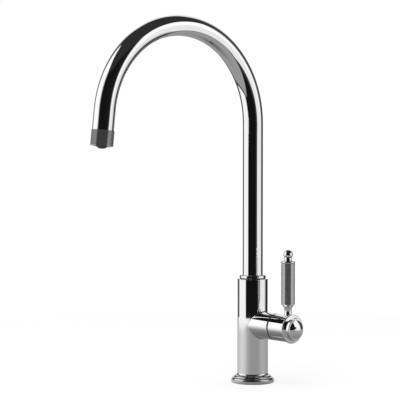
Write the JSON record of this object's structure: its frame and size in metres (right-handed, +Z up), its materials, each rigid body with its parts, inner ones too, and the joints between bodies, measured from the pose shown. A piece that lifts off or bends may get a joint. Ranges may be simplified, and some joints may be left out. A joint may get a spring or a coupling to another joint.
{
  "type": "three way kitchen tap",
  "caption": "Tall kitchen tap with a swivelling arch spout, a round column and one side lever that gives hot, cold and filtered water.",
  "frame": {"origin": "middle of the foot, on the deck's surface", "axes": "+Z up, the spout points along -Y at rest, the side branch with the lever along +X"},
  "size_m": [0.1025, 0.2557, 0.4216],
  "materials": {
    "chrome": "polished",
    "satin_chrome": "satin",
    "brass": "machined",
    "spindle_brass": "machined",
    "steel": "brushed",
    "rubber": "matt",
    "black_plastic": "matt",
    "white_plastic": "matt",
    "ceramic": "lapped"
  },
  "bodies": {
    "tap_body": {"base_ring": "chrome", "base_gasket": "rubber", "body_casting": "chrome", "spout_retaining_screw": "steel", "inlet_manifold": "brass", "manifold_seal": "rubber", "port_seals": "rubber", "spout_upper_bush": "black_plastic", "spout_lower_bush": "black_plastic", "cartridge_gasket": "rubber", "cartridge_housing": "white_plastic", "fixed_disc": "ceramic", "cartridge_nut": "brass", "handle_glide_ring": "black_plastic"},
    "spout": {"spout_tube": "chrome", "spout_collar": "chrome", "spout_spigot": "brass", "spigot_seals": "rubber", "filter_tube": "white_plastic", "filter_tube_seal": "rubber", "aerator_housing": "satin_chrome", "aerator_washer": "rubber", "aerator_insert": "black_plastic", "filter_nozzle": "black_plastic"},
    "lever": {"moving_disc": "ceramic", "cartridge_spindle": "spindle_brass", "spindle_seal": "rubber", "handle_hub": "chrome", "handle_screw": "steel", "dome_cap": "chrome", "lever_stem": "chrome", "lever_grip": "satin_chrome", "lever_rod": "steel", "lever_top_cap": "chrome", "ball_finial": "chrome"}
  },
  "joints": [
    {"name": "spout_swivel", "type": "hinge", "parent": "tap_body", "child": "spout", "pos_m": [0, 0, 0.1222], "axis": [0, 0, 1], "continuous": true},
    {"name": "lever_turn", "type": "hinge", "parent": "tap_body", "child": "lever", "pos_m": [0.04, 0, 0.0681], "axis": [1, 0, 0], "range_deg": [-90, 90]}
  ]
}
